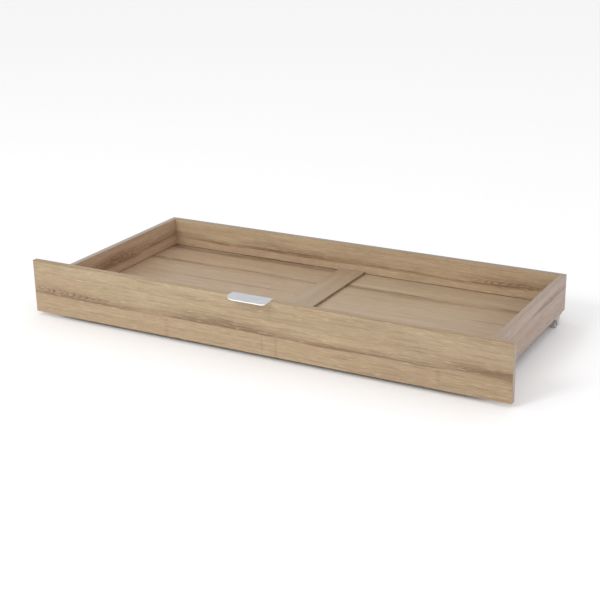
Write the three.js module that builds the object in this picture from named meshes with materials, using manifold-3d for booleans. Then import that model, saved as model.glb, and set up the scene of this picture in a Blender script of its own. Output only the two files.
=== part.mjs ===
// Under-bed drawer: a shallow open box of faced chipboard on four fixed castors, with a wide front board
// that hides the gap under a bed and a metal lip pull over its top edge. It ships flat: cam fittings, dowels
// and two screws hold the boards, and two thin base panels slide in grooves, one each side of a centre rail.
//
// Millimetres, +Z up. Origin on the floor under the middle of the footprint, +X to the right, +Y to the back.
import * as THREE from 'three';
import { mergeVertices } from 'three/addons/utils/BufferGeometryUtils.js';
import Module from 'manifold-3d';

// Driving dimensions
const BOARD = 16; // thickness of every chipboard piece
const FRONT = { length: 1400, height: 150, lift: 11 }; // lift is the gap between the board and the floor
const DEPTH = 600; // front face to rear face
const BOX_LENGTH = 1270; // over the two side boards
const SIDE = { height: 102, lift: 33 };
const RAIL_WIDTH = 80;
const BASE = { thickness: 3, level: 17 }; // level: from the side boards' lower edge to the groove's centre
const GROOVE = { width: 4, depth: 6 };
const BASE_BITE = 5.5; // how far a base panel reaches into each groove, where it lies on the lower wall

const OVERRUN = 1; // how far a cutter runs past an open face
const BORE_SPARE = 0.5; // how much deeper a bore is than what goes in it
const FINE_SIDES = 24;
const BORE_SIDES = 16;
const FIXING_SIDES = 12;
const SMALL_SCREW_SIDES = 10;
const CURVE_SEGMENTS = 8;

const CAM = {
  levels: [35, 85], // above the lower edge of the side boards
  radius: 7.3,
  length: 12.2,
  setback: 34, // cam centre from the joint plane
  pocket: { low: [-5, -8, -4], high: [4, 1, 4] },
  cross: { reach: 3.6, half: 0.8, depth: 1.5 },
};
const CAM_BORE = { radius: 7.5, depth: 12.5 };
const BOLT = {
  bite: 11, // into the receiving board
  reach: 33.5, // into the board that meets it
  thread: 2.4,
  collar: { radius: 3.6, end: 2 },
  shaft: { radius: 2.6, end: 27 },
  neck: { radius: 1.8, start: 28, end: 30 },
  head: { radius: 3.3, start: 31, chamfer: 0.8 },
  clearBore: 4,
  threadBore: 2.6,
};
const DOWEL = { level: 60, radius: 3.85, chamfer: 1, bore: 4, shortEnd: 9.5, longEnd: 20.5 };

const RAIL_FIXING_X = 20; // rail dowels and rail screws either side of the centre line
const RAIL_SCREW = { length: 50, taper: 3, thread: 2.4, shank: 3.4, head: 4.7, headDepth: 3.5, sunk: 0.3 };
const RAIL_SCREW_BORES = { pilot: 2.6, pilotDepth: 36, clearance: 3.6, head: 5, headDepth: 4 };

const HANDLE = {
  length: 120,
  reach: 33, // how far it stands out in front of the front face
  thickness: 2,
  leftCorner: 32, // corner radii in plan: the left one is broad and the right one is tight
  rightCorner: 10,
  skirt: 2, // thickness of the edge turned down round the front and both corners
  skirtDrop: 1.2,
  skirtEndLeft: -5,
  skirtEndRight: -23,
  flange: 2,
  drop: 22, // of the flange, down the rear of the front board
  screwX: 45,
};
const HANDLE_SCREW = {
  bite: 9,
  taper: 1,
  thread: 1.7,
  seat: 2.5,
  head: 3.5,
  shoulder: 3.8,
  crown: 2.4,
  top: 4.6,
};
const HANDLE_SCREW_BORES = { pilot: 1.9, pilotDepth: 10, clearance: 2 };

const CASTOR = {
  inset: 55, // axle from the end of the side board
  width: 16,
  plateLength: 56,
  plate: 2.5,
  hoodHalf: 15,
  slot: 11,
  well: 14.2,
  nose: 5.5,
};
const WHEEL = { radius: 12.5, width: 10, rim: 3, chamfer: 0.8, hub: 4.5, bore: 1.55, web: 6, sides: 32 };
const AXLE = { radius: 1.5, clearance: 0.15, sunk: 0.2 };
const CASTOR_SCREW = {
  y: 22, // either side of the axle
  top: 4.5,
  crown: 2.2,
  shoulder: 3.8,
  head: 3.2,
  thread: 1.5,
  taper: 2,
  bite: 13,
};
const CASTOR_SCREW_BORES = { pilot: 1.7, clearance: 2 };

// Places that follow from them
const BOX_HALF = BOX_LENGTH / 2;
const INNER_HALF = BOX_HALF - BOARD;
const SIDE_CENTRE_X = BOX_HALF - BOARD / 2;
const BACK_INNER_Y = DEPTH - BOARD;
const BASE_Z = SIDE.lift + BASE.level;
const FRONT_TOP = FRONT.lift + FRONT.height;
const SIDE_TOP = SIDE.lift + SIDE.height;
const AXLE_DROP = SIDE.lift - WHEEL.radius; // axle below the side board's lower edge

const oak = new THREE.MeshStandardMaterial({ color: 0xb8a184, roughness: 0.5, metalness: 0 });
const metal = new THREE.MeshStandardMaterial({ color: 0xd6d8dc, roughness: 0.3, metalness: 1 });
const zinc = new THREE.MeshStandardMaterial({ color: 0xaeb0b2, roughness: 0.4, metalness: 1 });
const steel = new THREE.MeshStandardMaterial({ color: 0x9a9c9e, roughness: 0.35, metalness: 1 });
const beech = new THREE.MeshStandardMaterial({ color: 0xd8b98c, roughness: 0.7, metalness: 0 });
const housingPlastic = new THREE.MeshStandardMaterial({ color: 0x8f8180, roughness: 0.5, metalness: 0 });
const wheelPlastic = new THREE.MeshStandardMaterial({ color: 0xbdbab6, roughness: 0.45, metalness: 0 });

const wasm = await Module();
wasm.setup();

function toSolid(geometry) {
  const bare = geometry.clone();
  for (const attribute of ['normal', 'uv']) bare.deleteAttribute(attribute);
  const merged = mergeVertices(bare, 1e-4);
  const mesh = new wasm.Mesh({
    numProp: 3,
    vertProperties: merged.attributes.position.array,
    triVerts: new Uint32Array(merged.index.array),
  });
  return new wasm.Manifold(mesh);
}

function toGeometry(solid) {
  const mesh = solid.getMesh();
  const geometry = new THREE.BufferGeometry();
  geometry.setAttribute('position', new THREE.BufferAttribute(new Float32Array(mesh.vertProperties), 3));
  geometry.setIndex(new THREE.BufferAttribute(new Uint32Array(mesh.triVerts), 1));
  geometry.computeVertexNormals();
  return geometry;
}

/** Geometry less every cutter, all in one frame. */
function less(geometry, cutters) {
  return toGeometry(cutters.reduce((solid, cutter) => solid.subtract(toSolid(cutter)), toSolid(geometry)));
}

/** A box from its low corner to its high corner. */
function block(low, high) {
  const size = high.map((value, i) => value - low[i]);
  const centre = high.map((value, i) => (value + low[i]) / 2);
  return new THREE.BoxGeometry(...size).translate(...centre);
}

/** A round bar along X, Y or Z from one coordinate on that axis to another, through the origin. */
function rod(axis, from, to, radius, sides = BORE_SIDES) {
  const bar = new THREE.CylinderGeometry(radius, radius, to - from, sides).translate(0, (from + to) / 2, 0);
  if (axis === 'x') bar.rotateZ(-Math.PI / 2);
  if (axis === 'z') bar.rotateX(Math.PI / 2);
  return bar;
}

/** A turned piece on the Y axis, from [radius, y] points that start and end on the axis. */
function turned(points, sides = FIXING_SIDES) {
  return new THREE.LatheGeometry(points.map(([radius, y]) => new THREE.Vector2(radius, y)), sides);
}

function named(name, geometry, material) {
  const mesh = new THREE.Mesh(geometry, material);
  mesh.name = name;
  return mesh;
}

// Everything in this group is measured from the front face; its place puts the origin under the footprint.
const drawer = new THREE.Group();
drawer.position.y = -(DEPTH - HANDLE.reach) / 2;

/** A board as a box centred on its own position. */
function board(name, low, high) {
  const centre = high.map((value, i) => (value + low[i]) / 2);
  const size = high.map((value, i) => value - low[i]);
  const mesh = named(name, new THREE.BoxGeometry(...size), oak);
  mesh.position.set(...centre);
  drawer.add(mesh);
  return mesh;
}

/** Cuts a board with cutters given in the drawer's frame. */
function machine(mesh, cutters) {
  const { x, y, z } = mesh.position;
  mesh.geometry = less(mesh.geometry, cutters.map((cutter) => cutter.clone().translate(-x, -y, -z)));
}

// Corner joints. Each has a frame at the joint plane: +Y runs from the receiving board into the end of the
// other board, and +X points out of the face that takes the cams.
const CORNERS = [
  { place: 'front_left', side: -1, atFront: true },
  { place: 'front_right', side: 1, atFront: true },
  { place: 'back_left', side: -1, atFront: false },
  { place: 'back_right', side: 1, atFront: false },
];

function jointFrame({ side, atFront }, level) {
  const frame = new THREE.Group();
  frame.rotation.order = 'ZYX';
  const z = SIDE.lift + level;
  if (atFront) {
    frame.position.set(side * SIDE_CENTRE_X, BOARD, z);
    frame.rotation.y = side > 0 ? 0 : Math.PI;
  } else {
    frame.position.set(side * INNER_HALF, DEPTH - BOARD / 2, z);
    frame.rotation.y = side > 0 ? 0 : Math.PI;
    frame.rotation.z = side * (Math.PI / 2);
  }
  frame.updateMatrix();
  return frame;
}

function inDrawer(frame, geometries) {
  return geometries.map((geometry) => geometry.applyMatrix4(frame.matrix));
}

/** Bores of one corner, in the receiving board and in the board that meets it. */
function cornerBores(corner) {
  const receiver = [];
  const arriving = [];
  for (const level of CAM.levels) {
    const frame = jointFrame(corner, level);
    const threadBore = rod('y', -BOLT.bite - BORE_SPARE, OVERRUN, BOLT.threadBore, FIXING_SIDES);
    receiver.push(...inDrawer(frame, [threadBore]));
    const camBore = rod('x', BOARD / 2 - CAM_BORE.depth, BOARD / 2 + OVERRUN, CAM_BORE.radius, FINE_SIDES);
    arriving.push(...inDrawer(frame, [
      rod('y', -OVERRUN, CAM.setback, BOLT.clearBore),
      camBore.translate(0, CAM.setback, 0),
    ]));
  }
  const frame = jointFrame(corner, DOWEL.level);
  receiver.push(...inDrawer(frame, [rod('y', -DOWEL.shortEnd - BORE_SPARE, OVERRUN, DOWEL.bore)]));
  arriving.push(...inDrawer(frame, [rod('y', -OVERRUN, DOWEL.longEnd + BORE_SPARE, DOWEL.bore)]));
  return { receiver, arriving };
}

/** Cam: a drum with a cross recess on its face and a pocket that grips the bolt's head. */
function camGeometry() {
  const { radius, length, pocket, cross } = CAM;
  const face = BOARD / 2;
  const bars = [[cross.half, cross.reach], [cross.reach, cross.half]];
  const recess = bars.map(([y, z]) => block([face - cross.depth, -y, -z], [face + OVERRUN, y, z]));
  return less(rod('x', face - length, face, radius, FINE_SIDES), [block(pocket.low, pocket.high), ...recess]);
}

/** Cam bolt: a thread, a collar on the joint plane, a shaft and a necked head. */
function boltGeometry() {
  const { bite, reach, thread, collar, shaft, neck, head } = BOLT;
  return turned([
    [0, -bite],
    [thread, 1 - bite],
    [thread, 0],
    [collar.radius, 0],
    [collar.radius, collar.end],
    [shaft.radius, collar.end],
    [shaft.radius, shaft.end],
    [neck.radius, neck.start],
    [neck.radius, neck.end],
    [head.radius, head.start],
    [head.radius, reach - head.chamfer],
    [0, reach],
  ]);
}

function dowelGeometry() {
  const { radius, chamfer, shortEnd, longEnd } = DOWEL;
  return turned([
    [0, -shortEnd],
    [radius - chamfer, -shortEnd],
    [radius, chamfer - shortEnd],
    [radius, longEnd - chamfer],
    [radius - chamfer, longEnd],
    [0, longEnd],
  ]);
}

function addCornerFittings(corner, cam, bolt, dowel) {
  CAM.levels.forEach((level, i) => {
    const frame = jointFrame(corner, level);
    const height = i === 0 ? 'lower' : 'upper';
    const drum = named(`cam_${corner.place}_${height}`, cam, zinc);
    drum.position.y = CAM.setback;
    frame.add(drum, named(`cam_bolt_${corner.place}_${height}`, bolt, steel));
    drawer.add(frame);
  });
  const frame = jointFrame(corner, DOWEL.level);
  frame.add(named(`dowel_${corner.place}`, dowel, beech));
  drawer.add(frame);
}

/** A box between two corners given in any order. */
function span(a, b) {
  return block(a.map((value, i) => Math.min(value, b[i])), a.map((value, i) => Math.max(value, b[i])));
}

function sideBoard(side) {
  const low = [Math.min(side * INNER_HALF, side * BOX_HALF), BOARD, SIDE.lift];
  const high = [Math.max(side * INNER_HALF, side * BOX_HALF), DEPTH, SIDE_TOP];
  return board(side < 0 ? 'left_side_panel' : 'right_side_panel', low, high);
}

/** Grooves that the base panels slide in, as [board, cutter] pairs. */
function grooveCuts(front, back, rail, sides) {
  const low = BASE_Z - GROOVE.width / 2;
  const high = BASE_Z + GROOVE.width / 2;
  const endX = INNER_HALF + GROOVE.depth;
  const endY = BACK_INNER_Y + GROOVE.depth;
  const railEdge = RAIL_WIDTH / 2;
  const cuts = [
    [front, span([-endX, BOARD - GROOVE.depth, low], [endX, BOARD + OVERRUN, high])],
    [back, span([-INNER_HALF - OVERRUN, BACK_INNER_Y - OVERRUN, low], [INNER_HALF + OVERRUN, endY, high])],
  ];
  for (const [side, mesh] of sides) {
    cuts.push([mesh, span([side * (INNER_HALF - OVERRUN), BOARD - OVERRUN, low], [side * endX, endY, high])]);
    cuts.push([rail, span(
      [side * (railEdge - GROOVE.depth), BOARD - OVERRUN, low],
      [side * (railEdge + OVERRUN), BACK_INNER_Y + OVERRUN, high],
    )]);
  }
  return cuts;
}

/** Bores for what fixes the rail at its two ends, as [board, cutter] pairs. */
function railCuts(front, back, rail) {
  const { pilot, pilotDepth, clearance, head, headDepth } = RAIL_SCREW_BORES;
  return [-RAIL_FIXING_X, RAIL_FIXING_X].flatMap((x) => [
    [front, rod('y', BOARD - DOWEL.shortEnd - BORE_SPARE, BOARD + OVERRUN, DOWEL.bore)],
    [rail, rod('y', BOARD - OVERRUN, BOARD + DOWEL.longEnd + BORE_SPARE, DOWEL.bore)],
    [rail, rod('y', BACK_INNER_Y - pilotDepth, BACK_INNER_Y + OVERRUN, pilot, FIXING_SIDES)],
    [back, rod('y', BACK_INNER_Y - OVERRUN, DEPTH + OVERRUN, clearance)],
    [back, rod('y', DEPTH - headDepth, DEPTH + OVERRUN, head)],
  ].map(([mesh, bore]) => [mesh, bore.translate(x, 0, BASE_Z)]));
}

/** Pilot holes for the handle's screws and the castors' screws, as [board, cutter] pairs. */
function pilotCuts(front, sides) {
  const cuts = [];
  for (const x of [-HANDLE.screwX, HANDLE.screwX]) {
    const { pilot, pilotDepth } = HANDLE_SCREW_BORES;
    const bore = rod('y', BOARD - pilotDepth, BOARD + OVERRUN, pilot, FIXING_SIDES);
    cuts.push([front, bore.translate(x, 0, FRONT_TOP - HANDLE.drop / 2)]);
  }
  for (const { side, y } of castorPlaces()) {
    for (const offset of [-CASTOR_SCREW.y, CASTOR_SCREW.y]) {
      const depth = CASTOR_SCREW.bite + BORE_SPARE;
      const bore = rod('z', SIDE.lift - OVERRUN, SIDE.lift + depth, CASTOR_SCREW_BORES.pilot, FIXING_SIDES);
      cuts.push([sides.get(side), bore.translate(side * SIDE_CENTRE_X, y + offset, 0)]);
    }
  }
  return cuts;
}

/** Boards of the box, with their grooves and bores. */
function addBoards() {
  const half = FRONT.length / 2;
  const front = board('front_panel', [-half, 0, FRONT.lift], [half, BOARD, FRONT_TOP]);
  const back = board('back_panel', [-INNER_HALF, BACK_INNER_Y, SIDE.lift], [INNER_HALF, DEPTH, SIDE_TOP]);
  const sides = new Map([-1, 1].map((side) => [side, sideBoard(side)]));
  const railLow = [-RAIL_WIDTH / 2, BOARD, BASE_Z - BOARD / 2];
  const rail = board('centre_rail', railLow, [RAIL_WIDTH / 2, BACK_INNER_Y, BASE_Z + BOARD / 2]);

  const cuts = [
    ...grooveCuts(front, back, rail, sides),
    ...railCuts(front, back, rail),
    ...pilotCuts(front, sides),
  ];
  for (const corner of CORNERS) {
    const { receiver, arriving } = cornerBores(corner);
    const side = sides.get(corner.side);
    for (const bore of receiver) cuts.push([corner.atFront ? front : side, bore]);
    for (const bore of arriving) cuts.push([corner.atFront ? side : back, bore]);
  }
  for (const mesh of [front, back, rail, ...sides.values()]) {
    machine(mesh, cuts.filter(([target]) => target === mesh).map(([, cutter]) => cutter));
  }
}

/** Thin base panels, each held in grooves on all four edges. */
function addBasePanels() {
  const nearX = RAIL_WIDTH / 2 - BASE_BITE;
  const farX = INNER_HALF + BASE_BITE;
  const [lowY, highY] = [BOARD - BASE_BITE, BACK_INNER_Y + BASE_BITE];
  const lowZ = BASE_Z - GROOVE.width / 2;
  const highZ = lowZ + BASE.thickness;
  board('left_base_panel', [-farX, lowY, lowZ], [-nearX, highY, highZ]);
  board('right_base_panel', [nearX, lowY, lowZ], [farX, highY, highZ]);
}

/** Rail dowels at the front, and rail screws let into the rear face. */
function addRailFixings(dowel) {
  const { length, taper, thread, shank, head, headDepth, sunk } = RAIL_SCREW;
  const screw = turned([
    [0, -length],
    [thread, taper - length],
    [thread, -BOARD],
    [shank, -BOARD],
    [shank, -headDepth],
    [head, -headDepth],
    [head, -sunk],
    [0, -sunk],
  ]);
  for (const side of [-1, 1]) {
    const place = side < 0 ? 'left' : 'right';
    const pin = named(`rail_dowel_${place}`, dowel, beech);
    pin.position.set(side * RAIL_FIXING_X, BOARD, BASE_Z);
    const fixing = named(`rail_screw_${place}`, screw, steel);
    fixing.position.set(side * RAIL_FIXING_X, DEPTH, BASE_Z);
    drawer.add(pin, fixing);
  }
}

/** The handle's outline in plan, drawn in by an inset, with round front corners and a straight rear edge. */
function handlePlan(inset, rear) {
  const half = HANDLE.length / 2 - inset;
  const frontY = inset - HANDLE.reach;
  const left = HANDLE.leftCorner - inset;
  const right = HANDLE.rightCorner - inset;
  const plan = new THREE.Shape();
  plan.moveTo(-half, rear);
  plan.lineTo(-half, frontY + left);
  plan.absarc(left - half, frontY + left, left, Math.PI, 1.5 * Math.PI, false);
  plan.lineTo(half - right, frontY);
  plan.absarc(half - right, frontY + right, right, 1.5 * Math.PI, 2 * Math.PI, false);
  plan.lineTo(half, rear);
  return plan;
}

/** Lip pull: a plate over the front board's top edge, with a skirt round its front and a flange behind. */
function handleGeometry() {
  const { length, thickness, skirt, skirtDrop, skirtEndLeft, skirtEndRight, flange, drop } = HANDLE;
  const rear = BOARD + flange;
  const low = -drop - OVERRUN;
  const slab = (plan, from, to) => new THREE.ExtrudeGeometry(plan, {
    depth: to - from,
    bevelEnabled: false,
    curveSegments: CURVE_SEGMENTS,
  }).translate(0, 0, from);
  const hollow = slab(handlePlan(skirt, BOARD), low, 0);
  const belowSkirt = block([-length, -length, low], [length, BOARD, -skirtDrop]);
  const openLeftEnd = block([-length, skirtEndLeft, low], [0, BOARD, 0]);
  const openRightEnd = block([0, skirtEndRight, low], [length, BOARD, 0]);
  const bores = [-HANDLE.screwX, HANDLE.screwX].map((x) => {
    const bore = rod('y', BOARD - OVERRUN, rear + OVERRUN, HANDLE_SCREW_BORES.clearance, FIXING_SIDES);
    return bore.translate(x, 0, -drop / 2);
  });
  const whole = slab(handlePlan(0, rear), -drop, thickness);
  return less(whole, [hollow, belowSkirt, openLeftEnd, openRightEnd, ...bores]);
}

function addHandle() {
  const pull = named('pull_handle', handleGeometry(), metal);
  pull.position.z = FRONT_TOP;
  drawer.add(pull);
  const { bite, taper, thread, seat, head, shoulder, crown, top } = HANDLE_SCREW;
  const screw = turned([
    [0, -bite],
    [thread, taper - bite],
    [thread, seat],
    [head, seat],
    [head, shoulder],
    [crown, top],
    [0, top],
  ], SMALL_SCREW_SIDES);
  for (const side of [-1, 1]) {
    const fixing = named(`handle_screw_${side < 0 ? 'left' : 'right'}`, screw, steel);
    fixing.position.set(side * HANDLE.screwX, BOARD, FRONT_TOP - HANDLE.drop / 2);
    drawer.add(fixing);
  }
}

// Castors, each in a frame on the lower edge of a side board: Z up, the axle along X.
function castorPlaces() {
  return CORNERS.map(({ place, side, atFront }) => ({
    place,
    side,
    y: atFront ? BOARD + CASTOR.inset : DEPTH - CASTOR.inset,
  }));
}

/** Castor housing: a screw plate and a tapered hood, with a well that leaves a cheek on each side. */
function housingGeometry() {
  const { width, plateLength, plate, hoodHalf, slot, well, nose } = CASTOR;
  const half = plateLength / 2;
  const outline = new THREE.Shape();
  outline.moveTo(-half, 0);
  outline.lineTo(-half, -plate);
  outline.lineTo(-hoodHalf, -plate);
  outline.lineTo(-nose, -AXLE_DROP);
  outline.absarc(0, -AXLE_DROP, nose, Math.PI, 2 * Math.PI, false);
  outline.lineTo(hoodHalf, -plate);
  outline.lineTo(half, -plate);
  outline.lineTo(half, 0);
  const hood = new THREE.ExtrudeGeometry(outline, {
    depth: width,
    bevelEnabled: false,
    curveSegments: CURVE_SEGMENTS,
  });
  hood.applyMatrix4(new THREE.Matrix4().makeBasis(
    new THREE.Vector3(0, 1, 0), new THREE.Vector3(0, 0, 1), new THREE.Vector3(1, 0, 0),
  )).translate(-width / 2, 0, 0);
  const wheelWell = rod('x', -slot / 2, slot / 2, well, FINE_SIDES).translate(0, 0, -AXLE_DROP);
  const axleBore = rod('x', -width, width, AXLE.radius + AXLE.clearance, FIXING_SIDES);
  axleBore.translate(0, 0, -AXLE_DROP);
  const screwBores = [-CASTOR_SCREW.y, CASTOR_SCREW.y].map((y) => {
    const bore = rod('z', -plate - OVERRUN, OVERRUN, CASTOR_SCREW_BORES.clearance, FIXING_SIDES);
    return bore.translate(0, y, 0);
  });
  return less(hood, [wheelWell, axleBore, ...screwBores]);
}

/** Castor wheel on the X axis: a rim and a hub joined by a thin web, with one of its flats down. */
function wheelGeometry() {
  const { radius, width, rim, chamfer, hub, bore, web, sides } = WHEEL;
  const outside = radius / Math.cos(Math.PI / sides);
  const inside = radius - rim;
  const edge = width / 2;
  const recess = web / 2;
  const profile = [
    [bore, -edge],
    [hub, -edge],
    [hub, -recess],
    [inside, -recess],
    [inside, -edge],
    [outside - chamfer, -edge],
    [outside, chamfer - edge],
    [outside, edge - chamfer],
    [outside - chamfer, edge],
    [inside, edge],
    [inside, recess],
    [hub, recess],
    [hub, edge],
    [bore, edge],
    [bore, -edge],
  ].map(([r, y]) => new THREE.Vector2(r, y));
  return new THREE.LatheGeometry(profile, sides, Math.PI / sides).rotateZ(-Math.PI / 2);
}

/** Castor screw: a pan head under the housing's plate, with its thread up into the side board. */
function castorScrewGeometry() {
  const { top, crown, shoulder, head, thread, taper, bite } = CASTOR_SCREW;
  return turned([
    [0, -top],
    [crown, -top],
    [head, -shoulder],
    [head, -CASTOR.plate],
    [thread, -CASTOR.plate],
    [thread, bite - taper],
    [0, bite],
  ], SMALL_SCREW_SIDES).rotateX(Math.PI / 2);
}

function addCastors() {
  const housing = housingGeometry();
  const wheel = wheelGeometry();
  const axleEnd = CASTOR.width / 2 - AXLE.sunk;
  const axle = rod('x', -axleEnd, axleEnd, AXLE.radius, FIXING_SIDES);
  const screw = castorScrewGeometry();
  for (const { place, side, y } of castorPlaces()) {
    const castor = new THREE.Group();
    castor.position.set(side * SIDE_CENTRE_X, y, SIDE.lift);
    const roller = named(`castor_wheel_${place}`, wheel, wheelPlastic);
    const pin = named(`castor_axle_${place}`, axle, steel);
    roller.position.z = -AXLE_DROP;
    pin.position.z = -AXLE_DROP;
    castor.add(named(`castor_housing_${place}`, housing, housingPlastic), roller, pin);
    for (const [end, offset] of [['fore', -CASTOR_SCREW.y], ['aft', CASTOR_SCREW.y]]) {
      const fixing = named(`castor_screw_${place}_${end}`, screw, steel);
      fixing.position.y = offset;
      castor.add(fixing);
    }
    drawer.add(castor);
  }
}

addBoards();
addBasePanels();
const dowelShape = dowelGeometry();
const camShape = camGeometry();
const boltShape = boltGeometry();
for (const corner of CORNERS) addCornerFittings(corner, camShape, boltShape, dowelShape);
addRailFixings(dowelShape);
addHandle();
addCastors();

const underBedDrawer = new THREE.Group();
underBedDrawer.add(drawer);

export default underBedDrawer;
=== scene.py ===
"""The looks of the under bed box: oak-effect boards with edge banding, a satin pull and moulded castors.

Metres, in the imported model's frame. The CAD model gives every place. This script replaces what shows with
finer meshes, and gives each piece a procedural material.
"""
import math
from typing import NamedTuple

import bmesh
import bpy
from mathutils import Matrix, Vector


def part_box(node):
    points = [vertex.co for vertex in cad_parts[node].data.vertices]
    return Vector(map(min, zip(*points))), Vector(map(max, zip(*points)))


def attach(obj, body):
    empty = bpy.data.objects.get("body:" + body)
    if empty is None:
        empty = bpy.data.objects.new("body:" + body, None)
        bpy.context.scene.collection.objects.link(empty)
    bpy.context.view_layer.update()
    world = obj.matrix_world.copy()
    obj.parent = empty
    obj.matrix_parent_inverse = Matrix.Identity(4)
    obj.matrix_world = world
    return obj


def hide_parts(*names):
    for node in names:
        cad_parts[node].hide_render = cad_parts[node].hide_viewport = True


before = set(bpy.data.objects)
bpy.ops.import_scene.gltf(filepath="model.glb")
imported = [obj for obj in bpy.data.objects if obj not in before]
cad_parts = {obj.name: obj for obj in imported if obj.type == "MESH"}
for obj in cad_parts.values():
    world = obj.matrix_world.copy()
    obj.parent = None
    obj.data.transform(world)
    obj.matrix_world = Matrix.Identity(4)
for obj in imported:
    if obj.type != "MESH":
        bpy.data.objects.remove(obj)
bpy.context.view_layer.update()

MM = 0.001
X, Y, Z = 0, 1, 2
LEFTWARD, RIGHTWARD = Vector((-1, 0, 0)), Vector((1, 0, 0))
REARWARD, UPWARD, DOWNWARD = Vector((0, 1, 0)), Vector((0, 0, 1)), Vector((0, 0, -1))
SIDES = ("left", "right")
HEIGHTS = ("lower", "upper")
CORNERS = ("front_left", "front_right", "back_left", "back_right")

# Camera: where it stands, which way it looks, and a plain long lens.
CAMERA_PLACE = Vector((1.5597, -2.8385, 1.2433))
CAMERA_AZIMUTH = math.radians(28.967)
CAMERA_ELEVATION = math.radians(20.028)
CAMERA_ROLL = math.radians(-0.97)
CAMERA_LENS = 75.66
CAMERA_SENSOR = 36
CAMERA_REACH = 200

# Studio: a white room that is brighter behind the camera, a soft key light and a weak cool fill.
WORLD_BACK = 0.84
WORLD_FRONT = 1.12
WORLD_TURN = (0.3, -0.9)  # Y of the direction, where the back's level ends and where the front's begins
FLOOR_RADIUS = 40
FLOOR_WAVES = 30.0  # of its faint mottle, a metre
FLOOR_COLOURS = (0.965, 0.965, 0.965, 1), (0.985, 0.985, 0.985, 1)
FLOOR_ROUGHNESS = 0.9
KEY = {"place": (-1.5, -4.5, 3.4), "target": (0, 0, 0.05), "size": 1.5, "power": 84, "colour": (1, 1, 1)}
FILL = {
    "place": (4.0, -0.4, 1.4), "target": (0.6, 0, 0.05), "size": 1.5, "power": 10, "colour": (0.86, 0.86, 1),
}

BAND = 0.6 * MM  # thickness of the edge banding
SEAM_ARRIS = 0.12 * MM
BAND_ARRIS = 0.36 * MM
PANEL_ARRIS = 0.2 * MM
BORE_GAP = 0.2 * MM
GROOVE_AIR = 1.6 * MM  # over a base panel, where it lies on its groove's lower wall
GROOVE_END_GAP = 0.5 * MM
OVERRUN = MM  # how far a cutter runs past an open face
ROUND_SIDES = 48
SHARP_EDGE = math.radians(35)  # edges sharper than this are rounded
FACING = 0.5  # a face whose normal has more than this of an axis faces along it


# --- Meshes -------------------------------------------------------------------------------------------------

def object_from(bm, name):
    """A new scene object that holds a bmesh."""
    mesh = bpy.data.meshes.new(name)
    bmesh.ops.recalc_face_normals(bm, faces=bm.faces)
    bm.to_mesh(mesh)
    bm.free()
    piece = bpy.data.objects.new(name, mesh)
    bpy.context.scene.collection.objects.link(piece)
    return piece


def add_block(bm, low, high):
    """Adds a box from its low corner to its high corner."""
    size = Vector(high) - Vector(low)
    centre = (Vector(high) + Vector(low)) / 2
    place = Matrix.Translation(centre) @ Matrix.Diagonal((*size, 1))
    bmesh.ops.create_cube(bm, size=1, matrix=place)


def add_turned(bm, profile, place, sides=ROUND_SIDES):
    """Adds a closed turned solid from (radius, height) points along its axis, set in place by a matrix."""
    rings = []
    for radius, height in profile:
        if radius == 0:
            rings.append([bm.verts.new(place @ Vector((0, 0, height)))])
            continue
        turns = [2 * math.pi * i / sides for i in range(sides)]
        points = [Vector((radius * math.cos(t), radius * math.sin(t), height)) for t in turns]
        rings.append([bm.verts.new(place @ point) for point in points])
    for ring, following in zip(rings, rings[1:] + rings[:1]):
        if len(ring) == 1 and len(following) == 1:
            continue
        for i in range(sides):
            j = (i + 1) % sides
            near = [ring[i % len(ring)], ring[j % len(ring)]]
            far = [following[j % len(following)], following[i % len(following)]]
            bm.faces.new(dict.fromkeys(near + far))


def add_rod(bm, place, radius, start, end, sides=ROUND_SIDES):
    """Adds a plain round rod that runs along its axis from start to end."""
    add_turned(bm, [(0, start), (radius, start), (radius, end), (0, end)], place, sides)


def add_prism(bm, outline, start, end, place):
    """Adds an upright prism over a flat outline of (x, y) points, set in place by a matrix."""
    bottom = [bm.verts.new(place @ Vector((x, y, start))) for x, y in outline]
    top = [bm.verts.new(place @ Vector((x, y, end))) for x, y in outline]
    bm.faces.new(bottom)
    bm.faces.new(top)
    for i in range(len(outline)):
        j = (i + 1) % len(outline)
        bm.faces.new((bottom[i], bottom[j], top[j], top[i]))


def arc(centre, radius, start, end, steps):
    """Points on a round arc, angles in degrees."""
    angles = [math.radians(start + (end - start) * i / steps) for i in range(steps + 1)]
    return [(centre[0] + radius * math.cos(a), centre[1] + radius * math.sin(a)) for a in angles]


def applied(piece):
    """Makes a piece's modifiers permanent."""
    bpy.context.view_layer.update()
    evaluated = piece.evaluated_get(bpy.context.evaluated_depsgraph_get())
    mesh = bpy.data.meshes.new_from_object(evaluated)
    piece.modifiers.clear()
    piece.data = mesh
    return piece


def cut(piece, cutter_bm):
    """Cuts closed shapes out of a piece."""
    cutter = object_from(cutter_bm, "cutter")
    difference = piece.modifiers.new("cut", "BOOLEAN")
    difference.operation = "DIFFERENCE"
    difference.solver = "EXACT"
    difference.object = cutter
    applied(piece)
    bpy.data.objects.remove(cutter)
    return piece


def cut_block(piece, low, high):
    """Cuts a box out of a piece."""
    cutter = bmesh.new()
    add_block(cutter, low, high)
    cut(piece, cutter)


def drill(piece, place, radius, start, end, sides=32):
    """Cuts a round hole along a matrix's own Z, from start to end."""
    cutter = bmesh.new()
    add_rod(cutter, place, radius, start, end, sides)
    cut(piece, cutter)


def shaded(piece, smooth_below):
    """Shades smooth where faces meet at a shallow angle, given in degrees, and flat elsewhere."""
    piece.data.shade_smooth()
    piece.data.set_sharp_from_angle(angle=math.radians(smooth_below))
    return piece


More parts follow.
